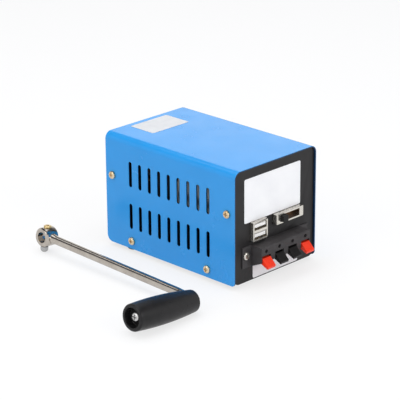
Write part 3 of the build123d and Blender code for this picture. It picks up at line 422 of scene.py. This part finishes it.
def paint_shade_inside(material):
    """Painted shade: dark navy base colour wherever the sheet lies deeper under the cover's
    outline than a thin blue skin.
    """
    tree = material.node_tree
    base_colour = tree.nodes["Principled BSDF"].inputs["Base Color"]
    painted = base_colour.links[0].from_socket
    low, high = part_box("cover")
    places = tree.nodes.new("ShaderNodeTexCoord")
    spot = tree.nodes.new("ShaderNodeSeparateXYZ")
    tree.links.new(places.outputs["Object"], spot.inputs[0])
    from_middle = math_node(tree, "SUBTRACT", spot.outputs["X"], (low.x + high.x) / 2)
    aside = math_node(tree, "ABSOLUTE", from_middle)
    past_side = math_node(tree, "SUBTRACT", aside, (high.x - low.x) / 2 - outer_bend)
    past_top = math_node(tree, "SUBTRACT", spot.outputs["Z"], high.z - outer_bend)
    squares = [
        math_node(tree, "POWER", math_node(tree, "MAXIMUM", past, 0.0), 2.0)
        for past in (past_side, past_top)
    ]
    reach = math_node(tree, "SQRT", math_node(tree, "ADD", *squares))
    # Sheet deeper than the thin blue skin gets the dark navy painted shade.
    outside = math_node(tree, "GREATER_THAN", reach, outer_bend - unshaded_skin_depth)
    mix = tree.nodes.new("ShaderNodeMix")
    mix.data_type = "RGBA"
    inner_shade_colour, outer_colour, mixed_colour = mix.inputs[6], mix.inputs[7], mix.outputs[2]
    inner_shade_colour.default_value = (*painted_inner_shade, 1)
    tree.links.new(outside, mix.inputs["Factor"])
    tree.links.new(painted, outer_colour)
    tree.links.new(mixed_colour, base_colour)


blue_enamel = enamel(
    "blue enamel", (0.013, 0.275, 0.69), (0.017, 0.295, 0.73), gloss=0.22, peel=0.0, level=0.40
)
# Paints shade on the cover's inner face and cut edges.
paint_shade_inside(blue_enamel)
soften("cover", 0.3, blue_enamel, segments=3)

# ---- side screws --------------------------------------------------------------------------------
# Pan-head screws through the cover's sides into the flanges of the chassis.
# Their yellow zinc plate shifts in tone from place to place.
yellow_zinc = bare_metal(
    "yellow zinc", (0.60, 0.42, 0.22), (0.80, 0.70, 0.52), rough=0.24, marks=500, stretch=even
)
soften("side_screws", 0.12, yellow_zinc)

# ---- crank --------------------------------------------------------------------------------------
# Round steel rod welded to a bored hub and nickel plated all over. Of the hub's two set screws
# the upper one is brass and the lower one grey steel. A steel screw and washer carry the grip.
warm_nickel = bare_metal(
    "warm nickel", (0.40, 0.36, 0.32), (0.52, 0.48, 0.43),
    rough=0.13, marks=700, stretch=(1, 0.05, 1), depth=0.002,
)
soften("crank_hub", 0.2, warm_nickel)
soften("crank_arm", 0.3, warm_nickel, angle=50)
hub_low, hub_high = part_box("crank_hub")
hub_middle = (hub_low.z + hub_high.z) / 2
set_screw_metal, tree, shader, places = shader_of("set screw metal")
spot = tree.nodes.new("ShaderNodeSeparateXYZ")
tree.links.new(places, spot.inputs[0])
ramp = tree.nodes.new("ShaderNodeValToRGB")
ramp.color_ramp.elements[0].color = (0.42, 0.42, 0.42, 1)
ramp.color_ramp.elements[1].color = (0.66, 0.50, 0.24, 1)
upper = spread(tree, spot.outputs["Z"], 0.0, 1.0, near=hub_middle - mm, far=hub_middle + mm)
tree.links.new(upper, ramp.inputs["Fac"])
tree.links.new(ramp.outputs["Color"], shader.inputs["Base Color"])
shader.inputs["Metallic"].default_value = 1.0
polished(tree, shader, noise(tree, places, cells=900, detail=4), 0.2, 0.36)
soften("set_screws", 0.15, set_screw_metal)
finish(bright_steel, "grip_washer")
soften("grip_axle", 0.15, bright_steel)

# ---- grip ---------------------------------------------------------------------------------------
# Barrel moulded in hard black plastic with an eroded surface.
# It is free to turn on its shoulder screw.
grip_plastic = moulded(
    "grip plastic", (0.010, 0.010, 0.0105), (0.015, 0.014, 0.015),
    rough=0.32, grain=700, depth=0.006, level=0.22,
)
soften("grip", 0.3, grip_plastic, segments=3)

# ---- table and backdrop -------------------------------------------------------------------------
# Pale table under a soft tent of light. Part of its white is its own glow, seen by the camera and
# in reflections alone, so that it keeps the shadows and adds no light to the object.
table_reach = 6.0
table_glow_share = 0.72
tent_strength = 0.55
floor_mesh = bpy.data.meshes.new("table")
sheet = bmesh.new()
bmesh.ops.create_grid(sheet, x_segments=1, y_segments=1, size=table_reach)
sheet.to_mesh(floor_mesh)
sheet.free()
table = bpy.data.objects.new("table", floor_mesh)
bpy.context.scene.collection.objects.link(table)


def seen_directly(tree):
    """1 for rays from the camera, off metal or through glass, otherwise 0."""
    path = tree.nodes.new("ShaderNodeLightPath")
    most = math_node(tree, "MAXIMUM", path.outputs["Is Camera Ray"], path.outputs["Is Glossy Ray"])
    return math_node(tree, "MAXIMUM", most, path.outputs["Is Transmission Ray"])


def blended(tree, share, first, second, output):
    """Mixes two shaders by a share of the second, and sends the result to an output."""
    blend = tree.nodes.new("ShaderNodeMixShader")
    tree.links.new(share, blend.inputs["Fac"])
    tree.links.new(first.outputs[0], blend.inputs[1])
    tree.links.new(second.outputs[0], blend.inputs[2])
    out = tree.nodes.new(output)
    tree.links.new(blend.outputs[0], out.inputs["Surface"])


white_table = bpy.data.materials.new("white table")
white_table.use_nodes = True
tree = white_table.node_tree
tree.nodes.clear()
paint = tree.nodes.new("ShaderNodeBsdfDiffuse")
paint.inputs["Color"].default_value = (0.86, 0.86, 0.87, 1)
glow = tree.nodes.new("ShaderNodeEmission")
glow.inputs["Strength"].default_value = 1.0
share = math_node(tree, "MULTIPLY", seen_directly(tree), table_glow_share)
blended(tree, share, paint, glow, "ShaderNodeOutputMaterial")
floor_mesh.materials.append(white_table)

world = bpy.data.worlds.new("studio")
bpy.context.scene.world = world
world.use_nodes = True
tree = world.node_tree
tree.nodes.clear()
tent = tree.nodes.new("ShaderNodeBackground")
tent.inputs["Color"].default_value = (0.95, 0.97, 1.0, 1)
tent.inputs["Strength"].default_value = tent_strength
backdrop = tree.nodes.new("ShaderNodeBackground")
backdrop.inputs["Strength"].default_value = 1.0
blended(tree, seen_directly(tree), tent, backdrop, "ShaderNodeOutputWorld")

# The studio's ceiling is grey above the white backdrop, which shows only in reflections.
directions = tree.nodes.new("ShaderNodeTexCoord")
parts = tree.nodes.new("ShaderNodeSeparateXYZ")
tree.links.new(directions.outputs["Generated"], parts.inputs[0])
ceiling = tree.nodes.new("ShaderNodeValToRGB")
ceiling.color_ramp.elements[0].position = 0.45
ceiling.color_ramp.elements[0].color = (1, 1, 1, 1)
ceiling.color_ramp.elements[1].position = 0.62
ceiling.color_ramp.elements[1].color = (0.12, 0.12, 0.13, 1)
tree.links.new(parts.outputs["Z"], ceiling.inputs["Fac"])
tree.links.new(ceiling.outputs["Color"], backdrop.inputs["Color"])

# ---- lamps --------------------------------------------------------------------------------------
# Four soft rectangular lamps, all aimed at the cabinet. The one overhead is the strongest,
# and the one behind only lifts the far edges.
cabinet_middle = Vector((0.05, 0.0, 0.04))


def softbox(name, place, width, height, power):
    """Rectangular lamp aimed at the middle of the cabinet."""
    lamp = bpy.data.lights.new(name, "AREA")
    lamp.shape = "RECTANGLE"
    lamp.size = width
    lamp.size_y = height
    lamp.energy = power
    holder = bpy.data.objects.new(name, lamp)
    bpy.context.scene.collection.objects.link(holder)
    holder.location = place
    aim = cabinet_middle - Vector(place)
    holder.rotation_euler = aim.to_track_quat("-Z", "Y").to_euler()


softbox("overhead", (0.1, 0.1, 1.1), width=1.2, height=1.2, power=8.0)
softbox("left side", (-1.1, 0.1, 0.7), width=0.8, height=0.8, power=5.0)
softbox("front", (0.2, -1.2, 0.6), width=0.8, height=0.6, power=4.5)
softbox("back", (0.9, 1.2, 0.7), width=1.2, height=0.5, power=0.8)

# ---- camera -------------------------------------------------------------------------------------
# Long lens in front of the object, above it and to its left. Its place was solved from the middle
# of the cabinet, which the crank beside it moves away from the middle of the whole.
cabinet_offset = Vector((-0.0497103, 0.0070557, 0.0))
eye = Vector((-0.9238, -0.9084, 0.5293)) - cabinet_offset
rightward = Vector((0.7032, -0.7109, -0.0069)).normalized()
upward = Vector((0.2557, 0.2438, 0.9355))
upward = (upward - rightward * upward.dot(rightward)).normalized()
backward = rightward.cross(upward)
turn = Matrix((rightward, upward, backward)).transposed()
lens = bpy.data.cameras.new("camera")
lens.sensor_fit = "HORIZONTAL"
lens.sensor_width = 36.0
lens.lens = 171.54
lens.clip_start = 0.01
camera = bpy.data.objects.new("camera", lens)
bpy.context.scene.collection.objects.link(camera)
camera.matrix_world = Matrix.Translation(eye) @ turn.to_4x4()
bpy.context.scene.camera = camera
bpy.context.scene.view_settings.view_transform = "Standard"
